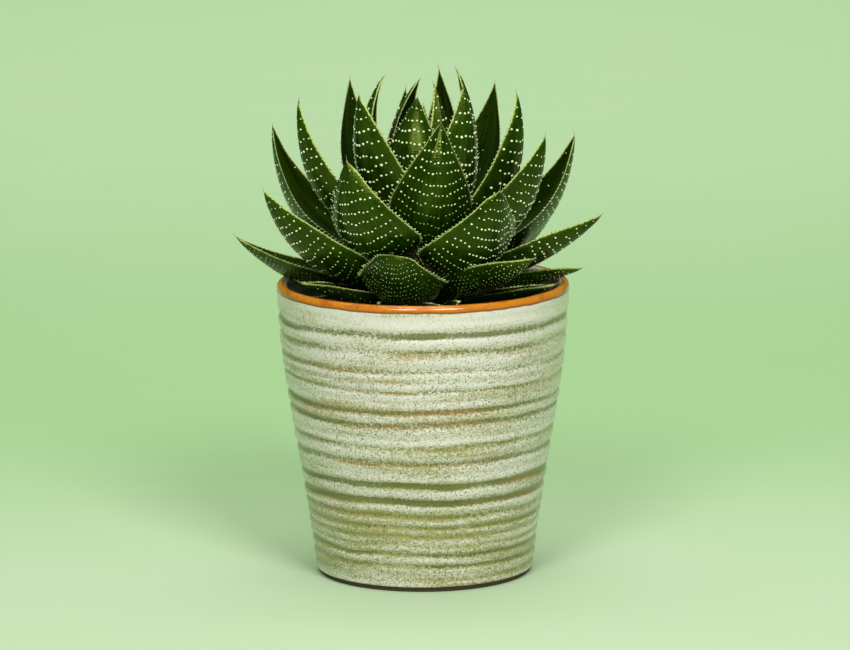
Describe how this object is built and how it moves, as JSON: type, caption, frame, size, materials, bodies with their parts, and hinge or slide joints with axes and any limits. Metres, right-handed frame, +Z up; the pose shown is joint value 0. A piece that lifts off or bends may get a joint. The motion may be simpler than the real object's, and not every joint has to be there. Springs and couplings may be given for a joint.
{
  "type": "potted aloe plant",
  "caption": "Small aloe rosette of pointed, toothed leaves rooted in potting mix in a tapered, ridged, glazed stoneware pot.",
  "frame": {"origin": "centre of the pot's flat underside, on the surface it stands on", "axes": "+Z up along the pot's axis and the plant's stem; -Y towards the front of the rosette, the side with the short domed leaf; +X to the right seen from the front"},
  "size_m": [0.1622, 0.141, 0.225],
  "materials": {
    "glaze": "glossy speckled cream and green glaze over throwing ridges, orange-brown rim, bare foot",
    "potting_mix": "dark loose crumbs with a little grit",
    "stem": "matt, pale green",
    "leaf": "glossy dark green skin with rows of raised white spots and a white toothed margin"
  },
  "bodies": {
    "root": {"pot": "glaze", "potting_mix": "potting_mix", "stem": "stem", "skirt_leaf_01": "leaf", "skirt_leaf_02": "leaf", "skirt_leaf_03": "leaf", "skirt_leaf_04": "leaf", "skirt_leaf_05": "leaf", "skirt_leaf_06": "leaf", "skirt_leaf_07": "leaf", "skirt_leaf_08": "leaf", "skirt_leaf_09": "leaf", "skirt_leaf_10": "leaf", "outer_leaf_01": "leaf", "outer_leaf_02": "leaf", "outer_leaf_03": "leaf", "outer_leaf_04": "leaf", "outer_leaf_05": "leaf", "outer_leaf_06": "leaf", "outer_leaf_07": "leaf", "outer_leaf_08": "leaf", "middle_leaf_01": "leaf", "middle_leaf_02": "leaf", "middle_leaf_03": "leaf", "middle_leaf_04": "leaf", "middle_leaf_05": "leaf", "middle_leaf_06": "leaf", "middle_leaf_07": "leaf", "middle_leaf_08": "leaf", "middle_leaf_09": "leaf", "middle_leaf_10": "leaf", "middle_leaf_11": "leaf", "middle_leaf_12": "leaf", "middle_leaf_13": "leaf", "middle_leaf_14": "leaf", "middle_leaf_15": "leaf", "middle_leaf_16": "leaf", "inner_leaf_01": "leaf", "inner_leaf_02": "leaf", "inner_leaf_03": "leaf", "inner_leaf_04": "leaf", "inner_leaf_05": "leaf", "inner_leaf_06": "leaf", "inner_leaf_07": "leaf", "inner_leaf_08": "leaf", "inner_leaf_09": "leaf", "inner_leaf_10": "leaf", "heart_leaf_01": "leaf", "heart_leaf_02": "leaf", "heart_leaf_03": "leaf"}
  },
  "joints": []
}
